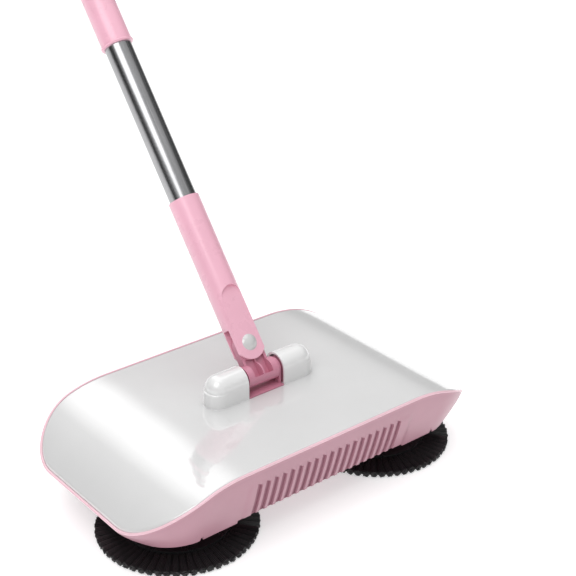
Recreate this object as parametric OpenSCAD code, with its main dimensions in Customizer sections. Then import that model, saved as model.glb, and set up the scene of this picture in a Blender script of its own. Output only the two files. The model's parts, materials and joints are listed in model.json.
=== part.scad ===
// Push carpet sweeper: a low head with two spinning disc brushes, a sweeping roller and a
// drawer dust bin, on a jointed handle. Millimetres, +Z up. The origin is on the floor under
// the middle of the head; -Y is the front, the handle leans back towards +Y.

/* [Head shell] */
// Length of the head, along X
head_length = 365; // [345:1:400]
// Width of the head, front to back
head_width = 207.5; // [200:0.5:225]
// Radius of the head's corners in plan
corner_radius = 46; // [40:1:55]
// Height of the rim above the floor, in the middle
rim_height = 80; // [79:0.5:90]
// How far the rim droops at each end
end_drop = 41; // [36:0.5:42]
// Distance from the middle at which the droop starts
flat_half = 90.5; // [85:0.5:100]
// Power of the droop curve
droop_power = 2.2; // [1.8:0.1:2.6]
// Height of the shell's lower edge above the floor
edge_height = 26; // [25:0.5:30]
// Height of the chassis plate's underside
plate_height = 33; // [33:0.5:34]
// How far the front and rear walls lean in at the lower edge
side_lean = 15; // [8:0.5:16]
// How far the end walls lean in at the lower edge
end_lean = 18; // [12:1:22]
// Thickness of the moulded walls
wall = 2.5; // [2:0.1:3]
// Width of the rim line around the cover
rim_width = 2.2; // [1.6:0.1:3]
// Thickness of the top cover
cover_thickness = 2.2; // [1.8:0.1:3]
// Thickness of the chassis plate
plate_thickness = 3; // [2.5:0.1:4]
// Number of grooves in the front grille
groove_count = 19; // [10:1:22]
// Spacing of the grooves
groove_pitch = 8.4; // [6:0.1:9]

/* [Disc brushes] */
// Distance of each disc's axis from the middle
disc_x = 110.4; // [105:0.1:115]
// Distance of the disc axes in front of the middle
disc_y = 31.7; // [28:0.1:36]
// Radius at the bristle tips
disc_radius = 70; // [64:0.5:74]
// Radius of the moulded hub
hub_radius = 47; // [42:0.5:50]
// Diameter of the disc spindle
spindle_d = 8; // [7:0.1:10]

/* [Wheels and gears] */
// Radius of the wheels over the tyres
wheel_radius = 20; // [20:0.5:22]
// Width of the wheels
wheel_width = 12; // [10:0.5:14]
// Distance of each wheel's middle from the centre plane
wheel_x = 132; // [130:0.5:136]
// Distance of the drive axle behind the middle
axle_y = 70; // [69:0.5:71]
// Diameter of the drive axle
axle_d = 6; // [5:0.5:6]
// Module of the spur gears
gear_module = 1; // [1:0.01:1.02]
// Teeth on the drive axle's gear and on the idler
large_teeth = 32; // [31:1:32]
// Teeth on the roller's gear
small_teeth = 12; // [12:1:13]
// Module of the disc drive gears
face_module = 1.5; // [1.4:0.05:1.6]
// Teeth on each crown gear
crown_teeth = 36; // [36:1:36]
// Teeth on each pinion
pinion_teeth = 12; // [12:1:12]

/* [Roller and bin] */
// Distance of the roller's axis behind the middle
roller_y = 20; // [19:0.5:21]
// Radius of the sweeping roller over its bristles
roller_radius = 19.6; // [18:0.1:19.8]
// Length of the sweeping roller
roller_length = 88; // [70:1:90]
// Length of the dust bin, along X
bin_length = 190; // [170:1:190]
// Height of the dust bin's floor above the ground
bin_floor_z = 28.2; // [28:0.1:30]
// Height of the dust bin's top edge
bin_top_z = 70; // [60:0.5:72]

/* [Hinge and handle] */
// Height of the tilt axis above the floor
hinge_height = 93.6; // [92:0.1:98]
// Gap between the two hinge domes
dome_gap = 38.6; // [36:0.2:42]
// Length of each hinge dome
dome_length = 36.9; // [35:0.1:40]
// Radius of the domes' round top
dome_radius = 12.7; // [12:0.1:14]
// Angle that the handle leans back from upright
handle_lean = 39; // [30:1:50]
// Distance from the tilt axis to the swivel pin, along the handle
pin_reach = 27; // [26:0.5:32]
// Outer diameter of the steel tube
tube_d = 25; // [22:0.5:26]
// Wall of the steel tube
tube_wall = 0.3; // [0.3:0.05:0.6]
// Outer diameter of the moulded sleeves
sleeve_d = 28.5; // [28.5:0.5:31]
// Length of the handle's axis from the tilt axis to its end
handle_length = 950; // [850:10:1100]

/* [Hidden] */

$fn = 64;
// Radial clearance of a turning fit
running = 0.05;
// Clearance between parts that only pass each other
gap = 0.4;
// Overlap that lets a cut run past a face
over = 1;

pink = [0.93, 0.70, 0.77];
dark_pink = [0.72, 0.50, 0.57];
white = [0.95, 0.95, 0.94];
black = [0.08, 0.08, 0.08];
steel = [0.75, 0.75, 0.75];
grey = [0.55, 0.55, 0.56];

half_length = head_length / 2;
half_width = head_width / 2;
end_height = rim_height - end_drop;
ledge_width = 3;
grille_half = 91;
grille_edge = 30.5;
arch_gap = 2;
ledge_height = 2;
plate_top = plate_height + plate_thickness;
plate_setback = 22;
droop_steps = 14;
wall_steps = 6;

// Drive train
axle_z = wheel_radius;
axle_r = axle_d / 2;
train_x = 108.5;
gear_width = 5;
large_pitch_r = gear_module * large_teeth / 2;
small_pitch_r = gear_module * small_teeth / 2;
mesh_slack = 0.1;
roller_z = axle_z;
// The idler sits above the line from the axle to the roller, where both gears mesh with it
axle_reach = 2 * large_pitch_r + mesh_slack;
roller_reach = large_pitch_r + small_pitch_r + mesh_slack;
train_length = axle_y - roller_y;
idler_back = (pow(axle_reach, 2) - pow(roller_reach, 2) + pow(train_length, 2)) / (2 * train_length);
idler_y = axle_y - idler_back;
idler_z = axle_z + sqrt(pow(axle_reach, 2) - pow(idler_back, 2));
axle_to_idler = atan2(idler_z - axle_z, idler_y - axle_y);
idler_to_roller = atan2(roller_z - idler_z, roller_y - idler_y);
idler_turn = mesh_turn(large_teeth, 0, large_teeth, axle_to_idler);
roller_turn = mesh_turn(large_teeth, idler_turn, small_teeth, idler_to_roller);
shaft_r = 2.5;
shaft_y = -disc_y;
crown_pitch_r = face_module * crown_teeth / 2;
pinion_pitch_r = face_module * pinion_teeth / 2;
crown_web_z = plate_top + 3;
crown_web = 4;
tooth_root = 1.9;
tooth_tip = 1.2;
crown_pitch_z = crown_web_z + crown_web + tooth_root;
shaft_z = crown_pitch_z + pinion_pitch_r + 0.3;
pinion_width = 5;
belt_x = roller_length / 2 + 12;
belt_width = 6;
belt_thickness = 1.4;
pulley_r = 7;
belt_clearance = 0.15;
bearing_x = 118;
bearing_width = 6;
roller_bearing_x = roller_length / 2 + 3.5;
bush_r = spindle_d / 2 + 3;

// Bin
bin_front_y = roller_y + roller_radius + 2.6;
bin_wall = 1.8;
rail_end_y = axle_y + 13;
bin_side_gap = 0.5;

// Hinge
hinge_y = -0.5;
barrel_r = 9.8;
cheek_width = 2;
cheek_r = 8.6;
barrel_half = dome_gap / 2 - cheek_width - 1;
trunnion_r = 5;
trunnion_length = 11;
tongue_thickness = 8;
tongue_width = 25;
swivel_r = 3;
slot_gap = 0.4;
flat_top = 10.4;
flat_offset = 7.2;
flat_length = 53;
tongue_r = 15;
flat_slope = atan((flat_top - flat_offset) / flat_length);
tower_width = 7;
cap_skin = 1.8;
dome_setback = 2.5;
wall_power = 1.3;
frame_y = 248.7;
tower_x = dome_gap / 2 + cap_skin + 0.3 + tower_width / 2;

// Handle
tube_r = tube_d / 2;
sleeve_r = sleeve_d / 2;
slot_end = pin_reach + 16;
socket_end = pin_reach + 139;
tube_start = pin_reach + flat_length + 4;
joint_gap = 151;
connector_length = 62;
connector_start = socket_end + joint_gap;
tube_run = 178;
second_start = connector_start + connector_length + tube_run;
grip_start = second_start + connector_length + tube_run;
grip_r = 15.5;
cap_length = 16;
hang_hole_r = 4;
hang_hole_drop = 9.5;
tube_insert = 26;

// Height of the rim at a distance along X
function rim_z(x) =
  rim_height - end_drop * pow(max(0, abs(x) - flat_half) / (half_length - flat_half), droop_power);

// Half width of the shell at a height, after an inset
function wall_y(z, inset) =
  half_width - inset - side_lean * pow(max(0, rim_height - z) / (rim_height - edge_height), wall_power);

// Half length of the shell at a height, after an inset
function wall_x(z, inset) =
  half_length - inset - end_lean * (end_height - z) / (end_height - edge_height);

// Angle of an involute flank at a radius
function flank_angle(base, r) = let (t = sqrt(max(0, pow(r / base, 2) - 1))) t * 180 / PI - atan(t);

module rounded_rect(length, width, radius) {
  square([length - 2 * radius, width], center = true);
  square([length, width - 2 * radius], center = true);
  for (x = [-1, 1], y = [-1, 1])
    translate([x * (length / 2 - radius), y * (width / 2 - radius)])
      circle(radius);
}

// The head's outer form, moved in by an inset and down by a drop, reaching down to a floor
module head_form(inset, drop, low) {
  droop_xs = [for (i = [0 : droop_steps]) flat_half + i * (half_length - flat_half) / droop_steps];
  wall_zs = concat(
    [low],
    [for (i = [1 : wall_steps]) edge_height + i * (rim_height - edge_height) / wall_steps],
    [rim_height + 2 * over]
  );
  intersection() {
    linear_extrude(rim_height + over)
      rounded_rect(2 * (half_length - inset), 2 * (half_width - inset), corner_radius - inset);
    across_y()
      polygon(concat(
        [[-half_length, 0]],
        [for (i = [droop_steps : -1 : 0]) [-droop_xs[i], rim_z(droop_xs[i]) - drop]],
        [for (x = droop_xs) [x, rim_z(x) - drop]],
        [[half_length, 0]]
      ));
    across_y()
      polygon([for (s = [-1, 1], z = s > 0 ? [rim_height + 2 * over, low] : [low, rim_height + 2 * over])
                 [s * wall_x(z, inset), z]]);
    rotate([90, 0, 90])
      linear_extrude(head_length + 2 * over, center = true)
        polygon(concat(
          [for (z = wall_zs) [wall_y(z, inset), z]],
          [for (i = [wall_steps + 1 : -1 : 0]) [-wall_y(wall_zs[i], inset), wall_zs[i]]]
        ));
  }
}

// An outline drawn in X and Z, run through the whole width
module across_y() {
  rotate([90, 0, 0])
    linear_extrude(head_width + 2 * over, center = true)
      children();
}

module box(low, high) {
  translate(low)
    cube(high - low);
}

// A cylinder along X between two places
module rod_x(x0, x1, y, z, r) {
  translate([x0, y, z])
    rotate([0, 90, 0])
      cylinder(r = r, h = x1 - x0);
}

module mirrored(side) {
  if (side > 0)
    children();
  else
    mirror([1, 0, 0])
      children();
}

// Spur gear outline: involute flanks, root and tip circles
module gear_outline(m, teeth, thinning) {
  pitch = m * teeth / 2;
  base = pitch * cos(25);
  root = pitch - 1.15 * m;
  tip = pitch + 0.85 * m;
  low = max(base, root);
  half = 90 / teeth - thinning / 2 * 180 / PI / pitch + flank_angle(base, pitch);
  steps = 4;
  rs = [for (i = [0 : steps]) low + i * (tip - low) / steps];
  polygon([
    for (k = [0 : teeth - 1])
      let (a = 360 * k / teeth)
        each concat(
          [[root * cos(a - half), root * sin(a - half)]],
          [for (r = rs) let (b = a - half + flank_angle(base, r)) [r * cos(b), r * sin(b)]],
          [for (i = [steps : -1 : 0])
            let (r = rs[i], b = a + half - flank_angle(base, r)) [r * cos(b), r * sin(b)]],
          [[root * cos(a + half), root * sin(a + half)]]
        )
  ]);
}

// Angle of a gear that meshes with another one lying in a direction from it
function mesh_turn(teeth_a, turn_a, teeth_b, direction) =
  direction + 180 - (0.5 - teeth_a * (direction - turn_a) / 360) * 360 / teeth_b;

// A spur gear about an axis along X, turned by an angle from +Y towards +Z
module gear_x(m, teeth, width, turn, bore, thinning) {
  rotate([90, 0, 90])
    rotate([0, 0, turn])
      difference() {
        linear_extrude(width, center = true)
          gear_outline(m, teeth, thinning);
        cylinder(r = bore, h = width + 2 * over, center = true);
      }
}

// Frame whose Z runs up the handle from the tilt axis
module on_handle() {
  translate([0, hinge_y, hinge_height])
    rotate([-handle_lean, 0, 0])
      children();
}

module ring(r_out, r_in, z0, z1) {
  translate([0, 0, z0])
    difference() {
      cylinder(r = r_out, h = z1 - z0);
      translate([0, 0, -over])
        cylinder(r = r_in, h = z1 - z0 + 2 * over);
    }
}

// ---- Head ----

module lower_housing() color(pink) {
  difference() {
    head_form(0, 0, edge_height);
    head_form(wall, cover_thickness + ledge_height, edge_height - over);
    head_form(rim_width + ledge_width, -over, edge_height - over);
    difference() {
      head_form(rim_width, -over, edge_height);
      head_form(rim_width - over, cover_thickness, edge_height);
    }
    box([-grille_half, -half_width - over, 0], [grille_half, -half_width + 30, grille_edge]);
    box([-bin_length / 2 - bin_side_gap, half_width - 40, 0],
        [bin_length / 2 + bin_side_gap, half_width + over, bin_top_z + bin_side_gap]);
    for (x = [-wheel_x, wheel_x])
      rod_x(x - wheel_width / 2 - arch_gap, x + wheel_width / 2 + arch_gap,
            axle_y, axle_z, wheel_radius + arch_gap);
    for (i = [0 : groove_count - 1])
      translate([(i - (groove_count - 1) / 2) * groove_pitch, 0, 0])
        groove_cut();
  }
  intersection() {
    head_form(wall - 1, 0, edge_height);
    for (place = POSTS)
      screw_post(place);
  }
}

// One groove of the front grille, open at the lower edge
module groove_cut() {
  depth = 1.7;
  width = 4.6;
  top = rim_height - 17;
  difference() {
    box([-width / 2, -half_width - over, edge_height - over], [width / 2, -half_width + 20, top]);
    rotate([90, 0, 90])
      linear_extrude(width + 2 * over, center = true)
        polygon(concat(
          [for (z = [edge_height - 2 : 8 : top + 6]) [-wall_y(z, depth), z]],
          [[half_width, top + 6], [half_width, edge_height - 2]]
        ));
  }
}

// Places of the four chassis screws
post_r = 4.5;
pilot_r = 1.4;
rib_reach = 14;
POSTS = [for (x = [-1, 1], y = [-1, 1]) y > 0 ? [x * bearing_x, 84] : [x * 62, -84]];

// Post that a chassis screw bites into, tied to the wall by a rib
module screw_post(place) {
  top = rim_height - cover_thickness - 8;
  toward = sign(place[1]);
  difference() {
    union() {
      translate([place[0], place[1], plate_top])
        cylinder(r = post_r, h = top - plate_top);
      box([place[0] - 1, min(place[1], place[1] + toward * rib_reach), plate_top + 6],
          [place[0] + 1, max(place[1], place[1] + toward * rib_reach), plate_top + 14]);
    }
    translate([place[0], place[1], 0])
      cylinder(r = pilot_r, h = plate_top + 14);
  }
}

module top_cover() color(white) {
  difference() {
    head_form(rim_width + 0.05, 0, edge_height);
    head_form(rim_width - over, cover_thickness - 0.02, edge_height - over);
    box([-dome_gap / 2 + 0.3, hinge_y - dome_radius - 0.1, 0],
        [dome_gap / 2 - 0.3, hinge_y + dome_radius + 0.1, rim_height + over]);
    for (x = [-1, 1])
      box([x * tower_x - tower_width / 2 - 0.2, hinge_y - 9.2, 0],
          [x * tower_x + tower_width / 2 + 0.2, hinge_y + 9.2, rim_height + over]);
  }
}

module chassis_plate() color(dark_pink) {
  difference() {
    intersection() {
      head_form(wall + 0.15, cover_thickness, edge_height);
      translate([0, 0, plate_height])
        linear_extrude(plate_thickness)
          rounded_rect(2 * (half_length - plate_setback), head_width, corner_radius - plate_setback);
    }
    box([-roller_bearing_x + 3.5, roller_y - roller_radius - 2, 0],
        [roller_bearing_x - 3.5, bin_front_y + over, plate_top + over]);
    box([-bin_length / 2 - 1, bin_front_y - 0.6, 0], [bin_length / 2 + 1, half_width, plate_top + over]);
    box([belt_x - belt_width, shaft_y - 2, 0], [belt_x + belt_width, roller_y + 12, plate_top + over]);
    box([train_x - 4, idler_y - large_pitch_r - 2, 0],
        [train_x + 4, axle_y + large_pitch_r - 2, plate_top + over]);
    for (x = [-1, 1]) {
      translate([x * disc_x, -disc_y, 0])
        cylinder(r = bush_r, h = plate_top + over);
      box([x * wheel_x - wheel_width / 2 - 1.5, axle_y - wheel_radius + 1, 0],
          [x * wheel_x + wheel_width / 2 + 1.5, axle_y + wheel_radius - 1, plate_top + over]);
    }
    for (place = POSTS)
      translate([place[0], place[1], 0])
        cylinder(r = 1.7, h = plate_top + over);
  }
}

module chassis_screws() color(steel) {
  for (place = POSTS)
    translate([place[0], place[1], plate_height])
      screw(pilot_r - 0.05, 3.2, 2, plate_thickness + 10);
}

// A pan-head screw pointing up, its head under z = 0
module screw(r, head_r, head_h, length) {
  cylinder(r = r, h = length);
  translate([0, 0, -head_h])
    difference() {
      cylinder(r = head_r, h = head_h);
      for (a = [0, 90])
        rotate([0, 0, a])
          translate([-head_r * 0.6, -0.35, -over])
            cube([head_r * 1.2, 0.7, over + 1]);
    }
}

// ---- Hinge ----

// Dome from an inner to an outer distance: straight-sided foot with a round end, and a
// capsule on top whose end stands back from the foot's
module dome_form(inner, outer, r, low) {
  foot_x = outer - r;
  top_x = foot_x - dome_setback;
  translate([0, hinge_y, 0]) {
    translate([0, 0, low])
      linear_extrude(hinge_height - low) {
        translate([inner, -r])
          square([foot_x - inner, 2 * r]);
        translate([foot_x, 0])
          circle(r);
      }
    rod_x(inner, top_x, 0, hinge_height, r);
    translate([top_x, 0, hinge_height])
      sphere(r);
  }
}

module hinge_cap(side) color(white) mirrored(side) {
  inner = dome_gap / 2;
  difference() {
    dome_form(inner, inner + dome_length, dome_radius, rim_height);
    dome_form(inner + cap_skin, inner + dome_length - cap_skin, dome_radius - cap_skin, rim_height - over);
    rod_x(inner - over, inner + cap_skin + over, hinge_y, hinge_height, trunnion_r + 1);
  }
}

module left_hinge_cap() { hinge_cap(-1); }
module right_hinge_cap() { hinge_cap(1); }

// Pink base: a tray between the domes with two cheeks, a plate under the cover and two towers
module hinge_base() color(pink) {
  under = rim_height - cover_thickness;
  reach = dome_gap / 2 - 0.4;
  difference() {
    union() {
      box([-tower_x - 14, hinge_y - 20, under - 4], [tower_x + 14, hinge_y + 20, under]);
      box([-reach, hinge_y - dome_radius, under - over], [reach, hinge_y + dome_radius, rim_height + 1]);
      for (x = [-1, 1])
        mirrored(x)
          upright(reach - cheek_width, reach, cheek_r, rim_height);
    }
    for (x = [-1, 1])
      mirrored(x) {
        rod_x(reach - cheek_width - over, reach + over, hinge_y, hinge_height, trunnion_r + gap);
        for (y = [-1, 1])
          translate([tower_x + 9, hinge_y + y * 12, 0])
            cylinder(r = 1.25, h = rim_height);
      }
  }
  for (x = [-1, 1])
    mirrored(x)
      difference() {
        upright(tower_x - tower_width / 2, tower_x + tower_width / 2, 9, under - over);
        rod_x(tower_x - tower_width, tower_x + tower_width, hinge_y, hinge_height, trunnion_r + running);
      }
}

// A plate across X with a round top about the tilt axis
module upright(x0, x1, r, low) {
  box([x0, hinge_y - r, low], [x1, hinge_y + r, hinge_height]);
  rod_x(x0, x1, hinge_y, hinge_height, r);
}

module hinge_screws() color(steel) {
  for (x = [-1, 1], y = [-1, 1])
    translate([x * (tower_x + 9), hinge_y + y * 12, rim_height - cover_thickness - 4])
      screw(1.2, 2.8, 1.8, 4);
}

// ---- Bearings, belt and rails fixed to the chassis ----

// A hanger under the plate with a bearing hole
module hanger(x, width, y, z, half, bore) {
  difference() {
    union() {
      box([x - width / 2, y - half, z], [x + width / 2, y + half, plate_height]);
      rod_x(x - width / 2, x + width / 2, y, z, half);
    }
    rod_x(x - width, x + width, y, z, bore + running);
  }
}

module left_axle_bearing() color(dark_pink) { hanger(-bearing_x, bearing_width, axle_y, axle_z, 7, axle_r); }
module right_axle_bearing() color(dark_pink) { hanger(bearing_x, bearing_width, axle_y, axle_z, 7, axle_r); }
module left_roller_bearing() color(dark_pink) {
  hanger(-roller_bearing_x, 4, roller_y, roller_z, 7, shaft_r);
}
module right_roller_bearing() color(dark_pink) {
  hanger(roller_bearing_x, 4, roller_y, roller_z, 7, shaft_r);
}

// Post above the plate that carries the cross shaft
module shaft_post(x) {
  half = 6;
  difference() {
    union() {
      box([x - 3, shaft_y - half, plate_top], [x + 3, shaft_y + half, shaft_z]);
      rod_x(x - 3, x + 3, shaft_y, shaft_z, half);
    }
    rod_x(x - 6, x + 6, shaft_y, shaft_z, shaft_r + running);
  }
}

shaft_post_x = disc_x - crown_pitch_r - crown_pitch_r * 0.6;
module left_shaft_bearing() color(dark_pink) { shaft_post(-shaft_post_x); }
module right_shaft_bearing() color(dark_pink) { shaft_post(shaft_post_x + 1); }

module brush_bush(x) color(grey) {
  translate([x * disc_x, -disc_y, 0]) {
    ring(bush_r, spindle_d / 2 + running, plate_height, plate_top);
    ring(bush_r + 2, spindle_d / 2 + running, plate_height - 1.5, plate_height);
  }
}
module left_brush_bush() { brush_bush(-1); }
module right_brush_bush() { brush_bush(1); }

// Stub pin of the idler gear, on a bracket that hangs from the plate
module idler_pin() color(steel) {
  bracket_x = train_x + gear_width / 2 + 2;
  rod_x(train_x - gear_width / 2 - 1, bracket_x + 4, idler_y, idler_z, shaft_r);
  box([bracket_x, idler_y - 5, idler_z - 6], [bracket_x + 4, idler_y + 5, plate_height]);
}

// Rubber ramp behind the roller that leads dust up into the bin
module mouth_lip() color(black) {
  r0 = roller_radius + 0.6;
  r1 = r0 + 1.8;
  length = roller_length + 1;
  translate([-length / 2, roller_y, roller_z])
    rotate([90, 0, 90])
      linear_extrude(length)
        intersection() {
          difference() {
            circle(r1);
            circle(r0);
          }
          polygon([[0, 0], [60 * cos(-52), 60 * sin(-52)], [60, 0], [60 * cos(28), 60 * sin(28)]]);
        }
}

belt_angle = atan2(shaft_z - roller_z, shaft_y - roller_y);
belt_span = norm([shaft_y - roller_y, shaft_z - roller_z]);

module drive_belt() color(black) {
  inner = pulley_r + belt_clearance;
  translate([belt_x, roller_y, roller_z])
    rotate([90, 0, 90])
      rotate([0, 0, belt_angle])
        linear_extrude(belt_width, center = true)
          difference() {
            belt_loop(inner + belt_thickness);
            belt_loop(inner);
          }
}

module belt_loop(r) {
  circle(r);
  translate([0, -r])
    square([belt_span, 2 * r]);
  translate([belt_span, 0])
    circle(r);
}

// L-shaped rail under one side of the bin, hung from the plate
module bin_rail(x) color(dark_pink) {
  foot_top = bin_floor_z - 0.4;
  outer = bin_length / 2 + 3;
  mirrored(x) {
    box([bin_length / 2 + 1, bin_front_y + 6, foot_top - 2], [outer, rail_end_y, plate_height]);
    box([bin_length / 2 - 8, bin_front_y + 6, foot_top - 2], [outer, rail_end_y, foot_top]);
    box([bin_length / 2 + 1, bin_front_y + 6, plate_height - 2], [outer + 2, rail_end_y, plate_height]);
  }
}
module left_bin_rail() { bin_rail(-1); }
module right_bin_rail() { bin_rail(1); }

// ---- Wheels ----

module drive_axle() color(steel) {
  rod_x(-wheel_x - wheel_width / 2 - 3, wheel_x + wheel_width / 2 + 3, axle_y, axle_z, axle_r);
}

tyre_height = 3;

module wheel(x) color(white) {
  translate([x * wheel_x, axle_y, axle_z])
    rotate([0, 90, 0])
      difference() {
        cylinder(r = wheel_radius - tyre_height, h = wheel_width, center = true);
        cylinder(r = axle_r, h = wheel_width + over, center = true);
        for (s = [-1, 1])
          translate([0, 0, s * wheel_width / 2])
            difference() {
              cylinder(r = wheel_radius - tyre_height - 2, h = 6, center = true);
              cylinder(r = axle_r + 3, h = 8, center = true);
            }
      }
}
module left_wheel() { wheel(-1); }
module right_wheel() { wheel(1); }

module tyre(x) color(black) {
  translate([x * wheel_x, axle_y, axle_z])
    rotate([0, 90, 0])
      ring(wheel_radius, wheel_radius - tyre_height, -wheel_width / 2, wheel_width / 2);
}
module left_tyre() { tyre(-1); }
module right_tyre() { tyre(1); }

thinning = 0.25;

module axle_gear() color(white) {
  translate([train_x, axle_y, axle_z])
    gear_x(gear_module, large_teeth, gear_width, 0, axle_r, thinning);
}

module idler_gear() color(white) {
  translate([train_x, idler_y, idler_z])
    gear_x(gear_module, large_teeth, gear_width, idler_turn, shaft_r + running, thinning);
}

// ---- Roller ----

module roller_shaft() color(steel) {
  rod_x(-roller_bearing_x - 4, train_x + gear_width / 2 + 2, roller_y, roller_z, shaft_r);
}

module roller_core() color(grey) {
  translate([0, roller_y, roller_z])
    rotate([0, 90, 0])
      ring(8, shaft_r, -roller_length / 2, roller_length / 2);
}

// Bristle rows as a fluted solid around the core
module roller_bristles() color(black) {
  translate([0, roller_y, roller_z])
    rotate([0, 90, 0])
      difference() {
        cylinder(r = roller_radius, h = roller_length - 2, center = true);
        cylinder(r = 8, h = roller_length, center = true);
        for (a = [0 : 45 : 315])
          rotate([0, 0, a + 22.5])
            translate([roller_radius + 6, 0, 0])
              cylinder(r = 10, h = roller_length, center = true);
      }
}

module roller_gear() color(white) {
  translate([train_x, roller_y, roller_z])
    gear_x(gear_module, small_teeth, gear_width, roller_turn, shaft_r, thinning);
}

// A flanged pulley for the flat belt, about an axis along X
module pulley(y, z) {
  flange = pulley_r + 2.4;
  flange_width = 1.2;
  half = belt_width / 2 + 0.6;
  difference() {
    union() {
      rod_x(belt_x - half, belt_x + half, y, z, pulley_r);
      for (s = [-1, 1])
        rod_x(belt_x + s * (half + flange_width / 2) - flange_width / 2,
              belt_x + s * (half + flange_width / 2) + flange_width / 2, y, z, flange);
    }
    rod_x(belt_x - 2 * belt_width, belt_x + 2 * belt_width, y, z, shaft_r);
  }
}

module roller_pulley() color(white) { pulley(roller_y, roller_z); }
module cross_pulley() color(white) { pulley(shaft_y, shaft_z); }

// ---- Cross shaft ----

pinion_x = disc_x - crown_pitch_r;

module cross_shaft() color(steel) {
  rod_x(-pinion_x - pinion_width, pinion_x + pinion_width, shaft_y, shaft_z, shaft_r);
}

module pinion(x) color(white) {
  translate([x * pinion_x, shaft_y, shaft_z])
    gear_x(face_module, pinion_teeth, pinion_width, 180 / pinion_teeth, shaft_r, 0.3);
}
module left_pinion() { pinion(-1); }
module right_pinion() { pinion(1); }

// ---- Disc brushes ----

hub_rim_z = 9;
hub_low = 6;
neck_r = 13;
neck_z = plate_height - 4;

// Trumpet profile of the hub's top
function hub_top(r) = hub_rim_z + (neck_z - hub_rim_z) * pow((hub_radius - r) / (hub_radius - neck_r), 2.2);

module brush_hub(x) color(black) {
  translate([x * disc_x, -disc_y, 0])
    difference() {
      rotate_extrude()
        polygon(concat(
          [[0, hub_low], [hub_radius, hub_low]],
          [for (i = [0 : 10]) let (r = hub_radius - i * (hub_radius - neck_r) / 10) [r, hub_top(r)]],
          [[0, neck_z]]
        ));
      cylinder(r = spindle_d / 2, h = neck_z + over);
      translate([0, 0, -over])
        rotate_extrude()
          polygon([[8, 0], [hub_radius - 12, 0], [hub_radius - 12, hub_low + 2], [8, hub_low + 12]]);
    }
}
module left_brush_hub() { brush_hub(-1); }
module right_brush_hub() { brush_hub(1); }

// Skirt of bristle tufts, from the hub's rim out and down to the floor
module brush_bristles(x) color(black) {
  translate([x * disc_x, -disc_y, 0])
    rotate_extrude()
      polygon([[hub_radius - 10, 0.6], [disc_radius - 10, 0], [disc_radius - 1, 0],
               [disc_radius, 4.5], [hub_radius, hub_rim_z],
               [hub_radius, hub_low], [hub_radius - 10, hub_low]]);
}
module left_brush_bristles() { brush_bristles(-1); }
module right_brush_bristles() { brush_bristles(1); }

module spindle(x) color(steel) {
  translate([x * disc_x, -disc_y, 0]) {
    translate([0, 0, hub_low + 6])
      cylinder(r = spindle_d / 2, h = crown_web_z + crown_web - hub_low - 6 + 1.5);
  }
}
module left_spindle() { spindle(-1); }
module right_spindle() { spindle(1); }

// Crown gear: a flat disc with trapezoid teeth on its upper face
module crown_gear(x) color(white) {
  face = pinion_width + 2;
  translate([x * disc_x, -disc_y, crown_web_z]) {
    ring(crown_pitch_r + face / 2, spindle_d / 2, 0, crown_web);
    ring(spindle_d / 2 + 4, spindle_d / 2, crown_web, crown_web + 1.5);
    for (k = [0 : crown_teeth - 1])
      rotate([0, 0, 360 * k / crown_teeth])
        translate([crown_pitch_r - face / 2 + 0.3, 0, crown_web])
          crown_tooth(face - 0.6);
  }
}

module crown_tooth(length) {
  root_half = 0.95;
  tip_half = 0.4;
  rotate([90, 0, 90])
    linear_extrude(length)
      polygon([[-root_half, -0.5], [root_half, -0.5],
               [tip_half, tooth_root + tooth_tip], [-tip_half, tooth_root + tooth_tip]]);
}
module left_crown_gear() { crown_gear(-1); }
module right_crown_gear() { crown_gear(1); }

// ---- Dust bin ----

module dust_bin() color(pink) {
  difference() {
    intersection() {
      head_form(0, 0, bin_floor_z);
      box([-bin_length / 2, bin_front_y, bin_floor_z], [bin_length / 2, half_width + over, bin_top_z]);
    }
    intersection() {
      head_form(wall, 0, bin_floor_z);
      box([-bin_length / 2 + bin_wall, bin_front_y + bin_wall, bin_floor_z + bin_wall],
          [bin_length / 2 - bin_wall, half_width, bin_top_z + over]);
    }
    box([-roller_length / 2, bin_front_y - over, bin_floor_z + 1.2],
        [roller_length / 2, bin_front_y + bin_wall + over, bin_floor_z + 18]);
    pull_cut();
  }
}

// Finger recess low in the bin's rear face
module pull_cut() {
  translate([0, half_width - 4, bin_floor_z + 4])
    rotate([90, 0, 0])
      cylinder(r = 16, h = 4.2, center = true);
}

// ---- Yoke and handle ----

// Barrel on two trunnions with a tongue that carries the swivel pin; two pockets lighten it
module yoke() color(pink) {
  pocket = 4.6;
  rib = 1.4;
  for (x = [-1, 1])
    mirrored(x)
      rod_x(barrel_half - over, barrel_half + trunnion_length, hinge_y, hinge_height, trunnion_r);
  difference() {
    union() {
      rod_x(-barrel_half, barrel_half, hinge_y, hinge_height, barrel_r);
      on_handle()
        yoke_tongue();
    }
    on_handle() {
      translate([0, 0, pin_reach])
        rotate([90, 0, 0])
          cylinder(r = swivel_r + running, h = tongue_thickness + 2, center = true);
      for (x = [-1, 1])
        mirrored(x)
          box([rib / 2, -barrel_r - over, -3.5], [rib / 2 + 2 * pocket, -1.5, pin_reach - 13.5]);
    }
  }
}

module yoke_tongue() {
  half = tongue_width / 2;
  box([-half, -tongue_thickness / 2, 0], [half, tongue_thickness / 2, pin_reach]);
  translate([0, 0, pin_reach])
    rotate([90, 0, 0])
      cylinder(r = half, h = tongue_thickness, center = true);
}

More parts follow.
